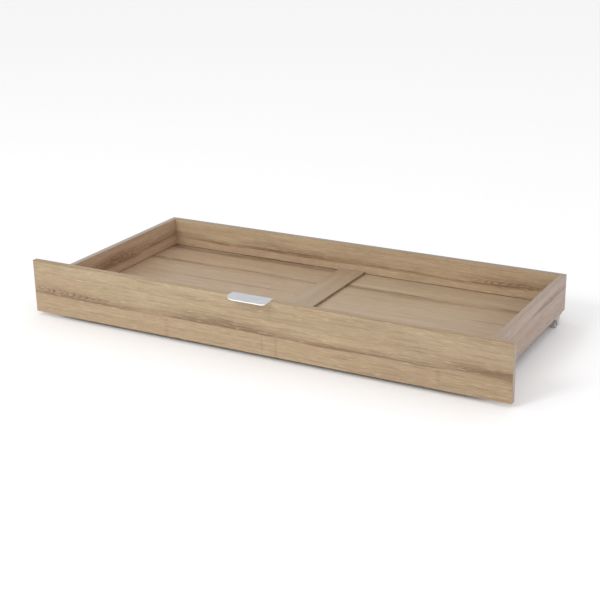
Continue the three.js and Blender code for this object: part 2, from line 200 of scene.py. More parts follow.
def eased(piece, width, segments=2, smooth_below=20):
    """Rounds every sharp edge of a piece and shades it."""
    bevel = piece.modifiers.new("eased", "BEVEL")
    bevel.width = width
    bevel.segments = segments
    bevel.limit_method = "ANGLE"
    bevel.angle_limit = SHARP_EDGE
    bevel.use_clamp_overlap = True
    applied(piece)
    return shaded(piece, smooth_below)


def finished(piece, body, material, replaced=()):
    """Rides a piece on its body and material, and hides the CAD nodes that it stands for."""
    piece.data.materials.clear()
    piece.data.materials.append(material)
    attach(piece, body)
    if replaced:
        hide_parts(*replaced)
    return piece


# --- Materials ----------------------------------------------------------------------------------------------

class Shader:
    """A material's node tree. Each call adds nodes and gives back an output to use further on."""

    def __init__(self, name):
        self.material = bpy.data.materials.new(name)
        self.material.use_nodes = True
        self.tree = self.material.node_tree
        self.surface = self.tree.nodes["Principled BSDF"]

    def feed(self, socket, value):
        """Links an output to a socket, or sets a plain value on it."""
        if isinstance(value, bpy.types.NodeSocket):
            self.tree.links.new(value, socket)
        else:
            socket.default_value = value

    def add(self, kind, inputs, output=0, **settings):
        """Adds a node of this kind and feeds its inputs, by number or by name."""
        node = self.tree.nodes.new(kind)
        for key, value in settings.items():
            setattr(node, key, value)
        for key, value in inputs.items():
            self.feed(node.inputs[key], value)
        return node.outputs[output]

    def axes(self):
        """The place on the object, in metres, as three outputs."""
        where = self.add("ShaderNodeTexCoord", {}, "Object")
        split = self.tree.nodes.new("ShaderNodeSeparateXYZ")
        self.feed(split.inputs[0], where)
        return list(split.outputs)

    def math(self, operation, a, b=0.0, c=0.0):
        return self.add("ShaderNodeMath", {0: a, 1: b, 2: c}, operation=operation)

    def vector(self, x, y, z):
        return self.add("ShaderNodeCombineXYZ", {0: x, 1: y, 2: z})

    def noise(self, vector, detail=2.0, roughness=0.5):
        """Noise from 0 to 1, about one wave long."""
        inputs = {"Vector": vector, "Scale": 1.0, "Detail": detail, "Roughness": roughness}
        return self.add("ShaderNodeTexNoise", inputs)

    def ease(self, value, low, high, start=0.0, end=1.0):
        """Smoothly from start to end as the value goes from low to high."""
        inputs = {0: value, 1: low, 2: high, 3: start, 4: end}
        return self.add("ShaderNodeMapRange", inputs, interpolation_type="SMOOTHSTEP")

    def blend(self, factor, a, b):
        """Colour a, turning to colour b as the factor goes from 0 to 1.

        The node's colours are its inputs 6 and 7 and its output 2.
        """
        return self.add("ShaderNodeMix", {0: factor, 6: a, 7: b}, 2, data_type="RGBA")

    def bell(self, distance, width):
        """1 on a line, falling off to nothing on each side of it."""
        ratio = self.math("DIVIDE", distance, width)
        square = self.math("MULTIPLY", ratio, ratio)
        return self.math("EXPONENT", self.math("MULTIPLY", square, -1.0))

    def ramp(self, position, stops):
        """Four numbers that ease from stop to stop. A stop is a position from 0 to 1 and its four numbers."""
        node = self.tree.nodes.new("ShaderNodeValToRGB")
        self.feed(node.inputs[0], position)
        node.color_ramp.interpolation = "EASE"
        elements = node.color_ramp.elements
        while len(elements) < len(stops):
            elements.new(0.5)
        for element, stop in zip(elements, stops):
            element.position = stop[0]
            element.color = stop[1:]
        split = self.tree.nodes.new("ShaderNodeSeparateColor")
        self.feed(split.inputs[0], node.outputs[0])
        return [*split.outputs, node.outputs[1]]

    def bump(self, height, distance, strength):
        """Shallow relief on the whole surface, with a distance in metres."""
        normal = self.add("ShaderNodeBump", {"Height": height, "Distance": distance, "Strength": strength})
        self.feed(self.surface.inputs["Normal"], normal)

    def set(self, **values):
        """Feeds the surface's inputs by name, with _ for a space, and gives back the material."""
        for key, value in values.items():
            self.feed(self.surface.inputs[key.replace("_", " ")], value)
        return self.material


class Print(NamedTuple):
    """What is drawn on one board, in metres along and across it from its low corner.

    seams: plank lines, each a list of (along, across, strength, how far it shades above and below the line).
    joints: butt joints, each (along, lowest across, highest across, strength, half width).
    figures: cathedral grain, each (along, across, half length, half height, sweep, pitch, strength).
    knots: each (along, across, radius, strength).
    shade: painted shade, how much darker the whole width is, as (along, amount) stops.
    """
    seams: tuple = ()
    joints: tuple = ()
    figures: tuple = ()
    knots: tuple = ()
    painted_shade: tuple = ()


class Marks(NamedTuple):
    """One layer of streaks in the print: how long and wide its marks are, and how its noise is read.

    What is read eases from least to most as the noise goes from low to high. The offset keeps the noise of
    one layer apart from another's.
    """
    length: float
    width: float
    low: float
    high: float
    least: float = 0.0
    most: float = 1.0
    detail: float = 2.0
    roughness: float = 0.5
    offset: float = 0.0


PALE_OAK = (0.512, 0.400, 0.258)
MID_OAK = (0.418, 0.310, 0.190)
ROSY_OAK = (0.462, 0.325, 0.205)
DARK_GRAIN = (0.190, 0.108, 0.054)
LIGHT_FLECK = (0.62, 0.51, 0.36)
# Greyish oak for painted sheen: banded edges are blended towards it where grazing light greys them.
SHEEN_GREY_OAK = (0.330, 0.300, 0.262)

# The layers of the print: length and width of the marks, and the span of noise that is read.
CLOUDS = Marks(0.42, 0.026, 0.30, 0.70, least=0.06, most=0.94)
ROSY_CLOUDS = Marks(0.30, 0.050, 0.42, 0.70, most=0.8, offset=5.0)
RINGS = Marks(0.16, 0.0060, 0.46, 0.72, most=0.27, detail=3.0, roughness=0.6, offset=2.0)
HAIR = Marks(0.040, 0.0012, 0.48, 0.74, most=0.26, offset=3.0)
PORES = Marks(0.011, 0.00055, 0.60, 0.72, detail=1.0, offset=7.0)
FLECKS = Marks(0.036, 0.0020, 0.57, 0.72, most=0.55, offset=11.0)
SEAM_PATCHES = Marks(0.20, 0.03, 0.34, 0.58, least=0.55, offset=40.0)
CRACK_PATCHES = SEAM_PATCHES._replace(low=0.36, high=0.56, least=0.0)
SEAM_LINES = Marks(0.26, 0.0030, 0.38, 0.60, least=0.40, offset=60.0)
NEXT_SEAM = 9.0  # added to the offsets for each further seam

# Grain, seams and surface.
DRIFT = 18 * MM  # how far the grain wanders across the board
DRIFT_WAVES = (3.0, 9.0)  # a metre, along and across
CRACK_WIDTH = 1.3 * MM
CRACK_STRENGTH = 0.5
ROSY_BELOW_SEAM = 0.45
GLUE_LINE_WIDTH = 1.6 * MM
PORE_DARKNESS = 0.30
DARKEST = 0.88
RELIEF = 0.12 * MM
RELIEF_STRENGTH = 0.5
HAIR_RELIEF = 0.5
HAIR_ROUGHNESS = 0.14

FIGURE_WAVES = (22.0, 60.0)  # a metre, along and across
FIGURE_BEND = 0.75  # how far an arc wanders across, in half heights
FIGURE_SLIP = 2.4  # and along, in arcs
FIGURE_OVAL = (0.85, 0.95)  # where a figure fades out, in half lengths and half heights
ARC_CREST = 0.9
ARC_DARKNESS = 0.70
FIGURE_DARKNESS = 0.12

KNOT_STRETCH = 2.2  # along the grain
KNOT_CORE = 0.7  # in radii
KNOT_HALO = 1.6
KNOT_RINGS = 9.0
KNOT_RING_FOOT = -0.5
HALO_STRENGTH = 0.5


class Oak(Shader):
    """Oak-effect print on one board. grain gives the axes along, across and through the board.

    The methods that draw take the darkness so far and give back the new one.
    """

    def __init__(self, name, grain, low, high, seed):
        super().__init__(name)
        axes = self.axes()
        self.along, self.across, self.through = [
            self.math("SUBTRACT", axes[axis], low[axis]) for axis in grain
        ]
        self.length = high[grain[0]] - low[grain[0]]
        self.part = self.math("DIVIDE", self.along, self.length)
        self.seed = seed
        self.start = self.math("ADD", self.along, seed)
        drift = self.noise(self.waves(DRIFT_WAVES), detail=3.0)
        level = self.math("SUBTRACT", self.across, DRIFT / 2)
        self.bent = self.math("MULTIPLY_ADD", drift, DRIFT, level)

    def waves(self, per_metre):
        """A place for noise with this many waves a metre along and across the board."""
        along = self.math("MULTIPLY", self.start, per_metre[0])
        across = self.math("MULTIPLY", self.across, per_metre[1])
        return self.vector(along, across, self.seed)

    def streaks(self, marks, shift=0.0):
        """A layer's noise, which follows the bent grain."""
        place = self.vector(
            self.math("MULTIPLY_ADD", self.start, 1 / marks.length, marks.offset + shift),
            self.math("DIVIDE", self.bent, marks.width),
            self.math("MULTIPLY_ADD", self.through, 1 / marks.width, self.seed),
        )
        return self.noise(place, marks.detail, marks.roughness)

    def read(self, noise, marks, gain=1.0):
        """A layer's noise, eased from its least to its most."""
        return self.ease(noise, marks.low, marks.high, marks.least, marks.most * gain)

    def darker(self, dark, amount, strength):
        """Adds to the darkness."""
        return self.math("MULTIPLY_ADD", amount, strength, dark)

    def painted_shade(self, dark, stops):
        """Painted shade: a darkness over the whole width that changes along the board."""
        quads = [(where / self.length, *[amount] * 4) for where, amount in stops]
        return self.math("ADD", dark, self.ramp(self.part, quads)[0])

    def seam(self, dark, colour, rosy, number, stops):
        """A dark line between two planks, cracked, with a rosier plank below. Gives the colour too."""
        stops = [(stop[0] / self.length, *stop[1:]) for stop in stops]
        line, strength, rise, foot = self.ramp(self.part, stops)
        away = self.math("SUBTRACT", self.bent, line)
        above = self.math("GREATER_THAN", away, 0.0)
        width = self.math("MULTIPLY_ADD", above, self.math("SUBTRACT", rise, foot), foot)
        patches = self.streaks(SEAM_PATCHES, NEXT_SEAM * number)
        lines = self.read(self.streaks(SEAM_LINES, NEXT_SEAM * number), SEAM_LINES)
        soft = self.math("MULTIPLY", self.bell(away, width), self.read(patches, SEAM_PATCHES))
        dark = self.darker(dark, self.math("MULTIPLY", soft, lines), strength)
        crack = self.math("MULTIPLY", self.bell(away, CRACK_WIDTH), self.read(patches, CRACK_PATCHES))
        dark = self.darker(dark, self.math("MULTIPLY", crack, CRACK_STRENGTH), strength)
        below = self.math("SUBTRACT", 1.0, above)
        return dark, self.blend(self.math("MULTIPLY", below, ROSY_BELOW_SEAM), colour, rosy)

    def joint(self, dark, where, bottom, top, strength, half_width):
        """A butt joint between two planks that meet end to end."""
        line = self.bell(self.math("SUBTRACT", self.along, where), half_width)
        over = self.math("GREATER_THAN", self.bent, bottom)
        under = self.math("LESS_THAN", self.bent, top)
        inside = self.math("MULTIPLY", over, under)
        return self.darker(dark, self.math("MULTIPLY", line, inside), strength)

    def figure(self, dark, centre, level, half_length, half_height, sweep, pitch, strength):
        """Cathedral grain: swept arcs inside a soft oval."""
        rough = self.noise(self.waves(FIGURE_WAVES), detail=3.0, roughness=0.6)
        wander = self.math("SUBTRACT", rough, 0.5)
        offset = self.math("SUBTRACT", self.along, centre)
        rise = self.math("DIVIDE", self.math("SUBTRACT", self.bent, level), half_height)
        p = self.math("DIVIDE", offset, half_length)
        q = self.math("MULTIPLY_ADD", wander, FIGURE_BEND, rise)
        swept = self.math("MULTIPLY_ADD", self.math("MULTIPLY", q, q), sweep, offset)
        turns = self.math("MULTIPLY_ADD", wander, FIGURE_SLIP, self.math("DIVIDE", swept, pitch))
        wave = self.math("SINE", self.math("MULTIPLY", turns, 2 * math.pi))
        oval = self.math("MULTIPLY", self.bell(p, FIGURE_OVAL[0]), self.bell(q, FIGURE_OVAL[1]))
        arcs = self.math("MULTIPLY", self.ease(wave, 0.0, ARC_CREST), oval)
        dark = self.darker(dark, arcs, ARC_DARKNESS * strength)
        return self.darker(dark, oval, FIGURE_DARKNESS * strength)

    def knot(self, dark, where, level, radius, strength):
        """A knot with a dark core and rings in a halo round it."""
        p = self.math("DIVIDE", self.math("SUBTRACT", self.along, where), KNOT_STRETCH * radius)
        q = self.math("DIVIDE", self.math("SUBTRACT", self.bent, level), radius)
        square = self.math("ADD", self.math("MULTIPLY", p, p), self.math("MULTIPLY", q, q))
        reach = self.math("SQRT", square)
        rings = self.ease(self.math("SINE", self.math("MULTIPLY", reach, KNOT_RINGS)), KNOT_RING_FOOT, 1.0)
        halo = self.math("MULTIPLY", self.bell(reach, KNOT_HALO), rings)
        dark = self.darker(dark, self.bell(reach, KNOT_CORE), strength)
        return self.darker(dark, halo, HALO_STRENGTH * strength)


def oak(
    name, grain, low, high, seed, drawn=Print(),
    tone=(1, 1, 1), painted_sheen=0.0, roughness=0.33, contrast=1.0, edge=0.0,
):
    """The material of one printed board or band, from its low corner to its high one.

    edge is the strength of a dark glue line along the board's low edge. greyer blends in a greyish oak as
    painted sheen, where grazing light greys a banded edge.
    """
    pale, mid, rosy, dark_grain, fleck, sheen_grey = [
        (*[part * by for part, by in zip(colour, tone)], 1)
        for colour in (PALE_OAK, MID_OAK, ROSY_OAK, DARK_GRAIN, LIGHT_FLECK, SHEEN_GREY_OAK)
    ]
    s = Oak(name, grain, low, high, seed)
    colour = s.blend(s.read(s.streaks(CLOUDS), CLOUDS), pale, mid)
    colour = s.blend(s.read(s.streaks(ROSY_CLOUDS), ROSY_CLOUDS), colour, rosy)
    hair = s.streaks(HAIR)
    dark = s.math("ADD", s.read(s.streaks(RINGS), RINGS, contrast), s.read(hair, HAIR, contrast))
    if drawn.painted_shade:
        dark = s.painted_shade(dark, drawn.painted_shade)
    for number, stops in enumerate(drawn.seams):
        dark, colour = s.seam(dark, colour, rosy, number, stops)
    for joint in drawn.joints:
        dark = s.joint(dark, *joint)
    for figure in drawn.figures:
        dark = s.figure(dark, *figure)
    for knot in drawn.knots:
        dark = s.knot(dark, *knot)
    if edge:
        dark = s.darker(dark, s.bell(s.across, GLUE_LINE_WIDTH), edge)
    pores = s.read(s.streaks(PORES), PORES)
    dark = s.math("MINIMUM", s.darker(dark, pores, PORE_DARKNESS), DARKEST)
    colour = s.blend(dark, colour, dark_grain)
    colour = s.blend(s.read(s.streaks(FLECKS), FLECKS, contrast), colour, fleck)
    # Painted sheen: a greyish oak blended in, standing in for grazing light on an edge.
    if painted_sheen:
        colour = s.blend(painted_sheen, colour, sheen_grey)
    relief = s.math("MULTIPLY_ADD", pores, -1.0, s.math("MULTIPLY", hair, HAIR_RELIEF))
    s.bump(relief, RELIEF, RELIEF_STRENGTH)
    return s.set(Base_Color=colour, Roughness=s.math("MULTIPLY_ADD", hair, HAIR_ROUGHNESS, roughness))


MOTTLE = (0.35, 0.65)  # where mottled noise turns from one colour to the other
FINE_SHARE = 0.6  # of fine noise in the mottle
BROAD_SCALE = 0.06  # of broad noise, to fine noise
DRAWN_SCALE = 0.04  # of marks drawn out along an axis
ROUGHNESS_SWING = 0.24
SPECKLE_STRENGTH = 0.6


def speckled(name, colours, scale, roughness, metallic=0.0, bump=0.0, drawn=None):
    """A fine-grained surface between two colours. drawn stretches its marks along one axis."""
    s = Shader(name)
    stretch = [scale * (DRAWN_SCALE if axis == drawn else 1.0) for axis in (X, Y, Z)]
    place = s.vector(*[s.math("MULTIPLY", value, by) for value, by in zip(s.axes(), stretch)])
    fine = s.noise(place, detail=3.0, roughness=0.6)
    wide = s.add("ShaderNodeVectorMath", {0: place, 1: [BROAD_SCALE] * 3}, operation="MULTIPLY")
    broad = s.noise(wide)
    mixed = s.math("MULTIPLY_ADD", fine, FINE_SHARE, s.math("MULTIPLY", broad, 1 - FINE_SHARE))
    colour = s.blend(s.ease(mixed, *MOTTLE), *colours)
    if bump:
        s.bump(fine, bump, SPECKLE_STRENGTH)
    rough = s.math("MULTIPLY_ADD", mixed, ROUGHNESS_SWING, roughness - ROUGHNESS_SWING / 2)
    return s.set(Base_Color=colour, Roughness=rough, Metallic=metallic)


chipboard = speckled(
    "chipboard", ((0.36, 0.25, 0.15, 1), (0.20, 0.13, 0.075, 1)), scale=620, roughness=0.85, bump=0.20 * MM,
)
hardboard = speckled(
    "hardboard", ((0.34, 0.235, 0.145, 1), (0.28, 0.19, 0.115, 1)), scale=900, roughness=0.7, bump=0.08 * MM,
)
beech = speckled(
    "beech", ((0.64, 0.46, 0.28, 1), (0.54, 0.37, 0.21, 1)),
    scale=1500, roughness=0.65, bump=0.08 * MM, drawn=Y,
)
zinc = speckled(
    "zinc", ((0.50, 0.51, 0.52, 1), (0.36, 0.37, 0.385, 1)),
    scale=1300, roughness=0.42, metallic=1.0, bump=0.05 * MM,
)
steel = speckled(
    "steel", ((0.60, 0.61, 0.62, 1), (0.46, 0.47, 0.485, 1)),
    scale=2600, roughness=0.30, metallic=1.0, bump=0.01 * MM,
)
housing_plastic = speckled(
    "housing_plastic", ((0.47, 0.415, 0.415, 1), (0.40, 0.35, 0.35, 1)),
    scale=1800, roughness=0.45, bump=0.06 * MM,
)
wheel_plastic = speckled(
    "wheel_plastic", ((0.50, 0.475, 0.45, 1), (0.40, 0.38, 0.36, 1)),
    scale=900, roughness=0.26, bump=0.03 * MM,
)

BRUSH_WAVES = (60.0, 2400.0)  # a metre, along and across the pull
PULL_CLOUD_WAVES = (40.0, 60.0)
PLATE_COLOURS = (0.70, 0.715, 0.75, 1), (0.60, 0.62, 0.655, 1)
# The rim's colours and metallic paint a highlight on the skirt's rounded front edge.
RIM_HIGHLIGHT_COLOURS = (0.93, 0.92, 0.90, 1), (0.87, 0.86, 0.85, 1)
RIM_HIGHLIGHT_METALLIC = 0.25
PULL_ROUGHNESS = 0.20
PULL_SWING = 0.20  # of the roughness
RIM_HIGHLIGHT_BLEND = (-0.3 * MM, 0.1 * MM)  # from the rim's level, where the rim ends and the plate begins


def pull_metal(level, behind):
    """Brushed anodised sheet. Its rim, below a level and not behind the board's face, is painted nearly white
    and less metallic: a painted highlight along the rounded front edge.
    """
    s = Shader("pull_metal")
    x, y, z = s.axes()
    brushed, cloud = [
        s.vector(s.math("MULTIPLY", x, waves[0]), s.math("MULTIPLY", y, waves[1]), z)
        for waves in (BRUSH_WAVES, PULL_CLOUD_WAVES)
    ]
    half_cloud = s.math("MULTIPLY", s.noise(cloud), 0.5)
    mixed = s.math("MULTIPLY_ADD", s.noise(brushed, detail=3.0), 0.5, half_cloud)
    # rim is the painted highlight; flat is 1 where the plain plate shows instead.
    plate, rim = [s.blend(s.ease(mixed, *MOTTLE), *colours) for colours in (PLATE_COLOURS, RIM_HIGHLIGHT_COLOURS)]
    over = s.ease(z, level + RIM_HIGHLIGHT_BLEND[0], level + RIM_HIGHLIGHT_BLEND[1])
    flat = s.math("MAXIMUM", over, s.math("GREATER_THAN", y, behind))
    rough = s.math("MULTIPLY_ADD", mixed, PULL_SWING, PULL_ROUGHNESS)
    metallic = s.math("MULTIPLY_ADD", flat, 1 - RIM_HIGHLIGHT_METALLIC, RIM_HIGHLIGHT_METALLIC)
    return s.set(Base_Color=s.blend(flat, rim, plate), Roughness=rough, Metallic=metallic)


# --- Boards -------------------------------------------------------------------------------------------------

def size_of(node):
    """The low and high corners of a CAD node's box."""
    low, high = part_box(node)
    return Vector(low), Vector(high)


def bore_cutter(bm, node, axis, outward):
    """Adds the round bore that a cam or screw head sits in, open at the board's face."""
    low, high = size_of(node)
    centre = (low + high) / 2
    radius = (high - low)[(axis + 1) % 3] / 2 + BORE_GAP
    face = high[axis] if outward > 0 else low[axis]
    bottom = low[axis] if outward > 0 else high[axis]
    depth = abs(face - bottom)
    centre[axis] = face
    turn = {X: Matrix.Rotation(math.pi / 2, 4, "Y"), Y: Matrix.Rotation(-math.pi / 2, 4, "X")}[axis]
    if outward < 0:
        turn = turn @ Matrix.Rotation(math.pi, 4, "X")
    add_rod(bm, Matrix.Translation(centre) @ turn, radius, -depth - OVERRUN / 2, OVERRUN)


def band_strip(name, low, high, material):
    """One length of edge banding."""
    bm = bmesh.new()
    add_block(bm, low, high)
    strip = object_from(bm, name)
    eased(strip, BAND_ARRIS, segments=3)
    return finished(strip, "drawer", material)


def board(node, material, bands, band_materials, grooved=(), bored=()):
    """A faced board in place of its CAD node: a core, grooved and bored, with banding on its showing edges.

    bands lists (axis, sign) of the banded edges, in the order that they overlap at the corners. grooved
    lists the low and high corners of grooves, and bored (node, axis, sign) of what sits in a bore.
    """
    low, high = size_of(node)
    core_low, core_high = low.copy(), high.copy()
    for axis, sign in bands:
        strip_low, strip_high = core_low.copy(), core_high.copy()
        if sign > 0:
            strip_low[axis] = core_high[axis] - BAND
            core_high[axis] -= BAND
        else:
            strip_high[axis] = core_low[axis] + BAND
            core_low[axis] += BAND
        side = "xyz"[axis] + ("_high" if sign > 0 else "_low")
        band_strip(f"{node}_band_{side}", strip_low, strip_high, band_materials[axis])
    bm = bmesh.new()
    add_block(bm, core_low, core_high)
    core = object_from(bm, f"{node}_board")
    for groove_low, groove_high in grooved:
        cut_block(core, groove_low, groove_high)
    if bored:
        cutter = bmesh.new()
        for name, axis, outward in bored:
            bore_cutter(cutter, name, axis, outward)
        cut(core, cutter)
    eased(core, SEAM_ARRIS)
    return finished(core, "drawer", material, [node])


def base_panel(node, material):
    """A thin panel with a printed top and a plain hardboard back."""
    bm = bmesh.new()
    add_block(bm, *size_of(node))
    panel = eased(object_from(bm, f"{node}_sheet"), PANEL_ARRIS)
    finished(panel, "drawer", material, [node])
    panel.data.materials.append(hardboard)
    for face in panel.data.polygons:
        face.material_index = 0 if face.normal.z > FACING else 1


def groove_round(node):
    """The groove that a base panel slides in: it lies on the lower wall, with a little air above it."""
    low, high = size_of(node)
    end_gap = Vector((GROOVE_END_GAP, GROOVE_END_GAP, 0))
    return low - end_gap, high + end_gap + GROOVE_AIR * UPWARD


front_low, front_high = size_of("front_panel")
rail_low, rail_high = size_of("centre_rail")
left_low, left_high = size_of("left_side_panel")
right_low, right_high = size_of("right_side_panel")
back_low, back_high = size_of("back_panel")

# The axes that run along, across and through the print on each kind of face.
LENGTHWISE, ACROSS, FLAT, RAIL_GRAIN = (X, Z, Y), (Y, Z, X), (X, Y, Z), (Y, X, Z)
END_GRAIN, REAR_GRAIN, SIDE_GRAIN = (Z, Y, X), (Z, X, Y), (Y, X, Z)

FRONT_SEAM = [
    (0.00, 0.060, 0.50, 0.012, 0.004), (0.25, 0.059, 0.65, 0.013, 0.003), (0.42, 0.055, 0.75, 0.011, 0.003),
    (0.54, 0.055, 0.90, 0.020, 0.003), (0.64, 0.058, 1.00, 0.024, 0.003), (0.76, 0.057, 1.00, 0.016, 0.003),
    (0.88, 0.055, 0.75, 0.010, 0.003), (1.04, 0.056, 0.60, 0.008, 0.003), (1.20, 0.055, 0.70, 0.009, 0.003),
    (1.30, 0.060, 0.95, 0.008, 0.005), (1.40, 0.069, 1.00, 0.008, 0.013),
]
BACK_SEAM = [
    (0.00, 0.044, 0.45, 0.010, 0.003), (0.20, 0.043, 0.85, 0.012, 0.003), (0.33, 0.044, 1.00, 0.026, 0.003),
    (0.48, 0.044, 0.90, 0.018, 0.004), (0.62, 0.045, 0.95, 0.012, 0.004), (0.75, 0.042, 0.90, 0.009, 0.003),
    (0.90, 0.041, 0.45, 0.008, 0.003), (1.05, 0.044, 0.60, 0.012, 0.003), (1.15, 0.050, 0.85, 0.014, 0.004),
    (1.238, 0.058, 0.95, 0.012, 0.004),
]
LEFT_SEAM = [
    (0.00, 0.046, 0.60, 0.016, 0.008), (0.20, 0.050, 0.95, 0.024, 0.008), (0.33, 0.048, 0.75, 0.020, 0.008),
    (0.46, 0.052, 0.60, 0.014, 0.006), (0.584, 0.057, 0.55, 0.012, 0.006),
]
RIGHT_SEAM = [
    (0.00, 0.064, 0.45, 0.006, 0.003), (0.20, 0.066, 0.45, 0.006, 0.003), (0.38, 0.066, 0.80, 0.010, 0.003),
    (0.50, 0.068, 0.70, 0.009, 0.003), (0.584, 0.070, 0.40, 0.006, 0.003),
]
LEFT_BASE_SEAMS = [
    [(0.00, 0.550, 0.75, 0.035, 0.010), (0.30, 0.552, 0.95, 0.035, 0.010), (0.59, 0.552, 0.95, 0.035, 0.010)],
    [
        (0.00, 0.447, 0.90, 0.004, 0.014), (0.14, 0.447, 0.90, 0.004, 0.012),
        (0.24, 0.445, 0.45, 0.004, 0.010), (0.34, 0.447, 0.80, 0.005, 0.010),
        (0.46, 0.444, 1.00, 0.005, 0.014), (0.59, 0.440, 0.70, 0.004, 0.010),
    ],
    [
        (0.00, 0.344, 0.10, 0.003, 0.008), (0.24, 0.343, 0.55, 0.003, 0.008),
        (0.45, 0.341, 0.60, 0.003, 0.008), (0.59, 0.342, 0.15, 0.003, 0.008),
    ],
    [(0.00, 0.180, 0.40, 0.004, 0.006), (0.59, 0.184, 0.40, 0.004, 0.006)],
]
RIGHT_BASE_SEAMS = [
    [
        (0.00, 0.467, 1.00, 0.005, 0.022), (0.14, 0.464, 1.00, 0.006, 0.026),
        (0.28, 0.464, 0.70, 0.005, 0.020), (0.42, 0.465, 0.75, 0.005, 0.018),
        (0.59, 0.468, 0.90, 0.006, 0.020),
    ],
    [
        (0.00, 0.352, 0.00, 0.003, 0.006), (0.41, 0.362, 0.00, 0.003, 0.006),
        (0.45, 0.363, 0.55, 0.003, 0.006), (0.59, 0.365, 0.40, 0.003, 0.006),
    ],
    [(0.00, 0.170, 0.40, 0.004, 0.006), (0.59, 0.168, 0.40, 0.004, 0.006)],
]

front_oak = oak("front_oak", LENGTHWISE, front_low, front_high, seed=3.1, drawn=Print(
    seams=[FRONT_SEAM],
    joints=[
        (0.732, 0, 0.055, 0.45, 0.0010), (0.773, 0, 0.055, 0.20, 0.004), (0.440, 0, 0.050, 0.18, 0.005),
        (1.215, 0.004, 0.050, 0.15, 0.006),
    ],
    figures=[(0.110, 0.069, 0.13, 0.014, 0.08, 0.022, 1.15), (1.34, 0.066, 0.09, 0.012, -0.16, 0.022, 0.95)],
    # Painted shade: darker at the right end, a little at the left.
    painted_shade=[(0.00, 0.05), (0.14, 0.00), (0.90, 0.00), (1.12, 0.13), (1.40, 0.14)],
), tone=(0.87, 0.86, 0.83), contrast=1.2)
back_oak = oak("back_oak", LENGTHWISE, back_low, back_high, seed=8.7, drawn=Print(
    seams=[BACK_SEAM],
    figures=[(1.11, 0.051, 0.10, 0.017, -0.09, 0.021, 1.25)],
), tone=(1.07, 1.06, 1.08))
left_oak = oak("left_oak", ACROSS, left_low, left_high, seed=13.3, drawn=Print(
    seams=[LEFT_SEAM],
    figures=[(0.265, 0.060, 0.08, 0.018, 0.03, 0.022, 1.5)],
    knots=[(0.240, 0.061, 0.012, 0.60)],
), tone=(0.98, 0.89, 0.94))
# The right board's tone leans blue as painted cool sheen, over its own oak colour.
right_oak = oak("right_oak", ACROSS, right_low, right_high, seed=19.9, drawn=Print(
    seams=[RIGHT_SEAM],
    figures=[(0.44, 0.073, 0.07, 0.010, 0.03, 0.018, 1.0)],
    # Painted shade: darker towards the back.
    painted_shade=[(0.00, 0.03), (0.30, 0.00), (0.42, 0.05), (0.584, 0.18)],
), tone=(0.835, 0.815, 1.00))
rail_oak = oak(
    "rail_oak", RAIL_GRAIN, rail_low, rail_high, seed=24.6,
    tone=(0.80, 0.765, 0.805), roughness=0.27, contrast=0.35,
)
left_base_oak = oak("left_base_oak", FLAT, *size_of("left_base_panel"), seed=31.2, drawn=Print(
    seams=LEFT_BASE_SEAMS,
    knots=[(0.571, 0.441, 0.004, 0.5)],
), tone=(0.94, 0.94, 0.98), roughness=0.27)
right_base_oak = oak("right_base_oak", FLAT, *size_of("right_base_panel"), seed=37.8, drawn=Print(
    seams=RIGHT_BASE_SEAMS,
    knots=[(0.476, 0.466, 0.005, 0.6)],
    # Painted shade: darker towards the right end, next to the right side board.
    painted_shade=[(0.30, 0.00), (0.42, 0.04), (0.50, 0.14), (0.59, 0.15)],
), tone=(0.94, 0.95, 0.99), roughness=0.27, contrast=0.8)

front_band_oak = {
    X: oak(
        "front_end_band_oak", END_GRAIN, front_low, front_high, seed=41.0,
        tone=(0.90, 0.90, 0.95), painted_sheen=0.35,
    ),
    Z: oak(
        "front_band_oak", FLAT, front_low, front_high, seed=45.0,
        tone=(0.84, 0.79, 0.76), painted_sheen=0.05, roughness=0.5, contrast=0.7, edge=0.6,
    ),
}
back_band_oak = {
    Z: oak(
        "back_band_oak", FLAT, back_low, back_high, seed=46.0,
        tone=(0.77, 0.77, 0.78), painted_sheen=0.55, roughness=0.5,
    ),
}


def side_band_oak(side, low, high, tone, painted_sheen):
    """Banding for a side board's rear end and its long edges, greyed by painted sheen."""
    rear = oak(f"{side}_end_band_oak", REAR_GRAIN, low, high, seed=43.0, tone=tone, painted_sheen=painted_sheen)
    long = oak(
        f"{side}_band_oak", SIDE_GRAIN, low, high, seed=47.0,
        tone=tone, painted_sheen=painted_sheen, roughness=0.4, contrast=0.7,
    )
    return {Y: rear, Z: long}


side_bands = {
    "left": side_band_oak("left", left_low, left_high, (0.93, 0.945, 1.05), 0.50),
    "right": side_band_oak("right", right_low, right_high, (0.84, 0.82, 0.92), 0.20),
}

grooves = [groove_round("left_base_panel"), groove_round("right_base_panel")]
edges = [(Z, 1), (Z, -1)]
board("front_panel", front_oak, edges + [(X, -1), (X, 1)], front_band_oak, grooves)
rear_bores = [(f"cam_back_{side}_{height}", Y, 1) for side in SIDES for height in HEIGHTS]
rear_bores += [(f"rail_screw_{side}", Y, 1) for side in SIDES]
board("back_panel", back_oak, edges, back_band_oak, grooves, rear_bores)
for side, outward, material in (("left", -1, left_oak), ("right", 1, right_oak)):
    cams = [(f"cam_front_{side}_{height}", X, outward) for height in HEIGHTS]
    board(f"{side}_side_panel", material, edges + [(Y, 1)], side_bands[side], grooves, cams)
rail = board("centre_rail", rail_oak, [], {}, grooves)
rail.data.materials.append(chipboard)
for face in rail.data.polygons:
    if abs(face.normal.x) > FACING:  # its long edges have no banding
        face.material_index = 1
base_panel("left_base_panel", left_base_oak)
base_panel("right_base_panel", right_base_oak)


# --- Fittings -----------------------------------------------------------------------------------------------

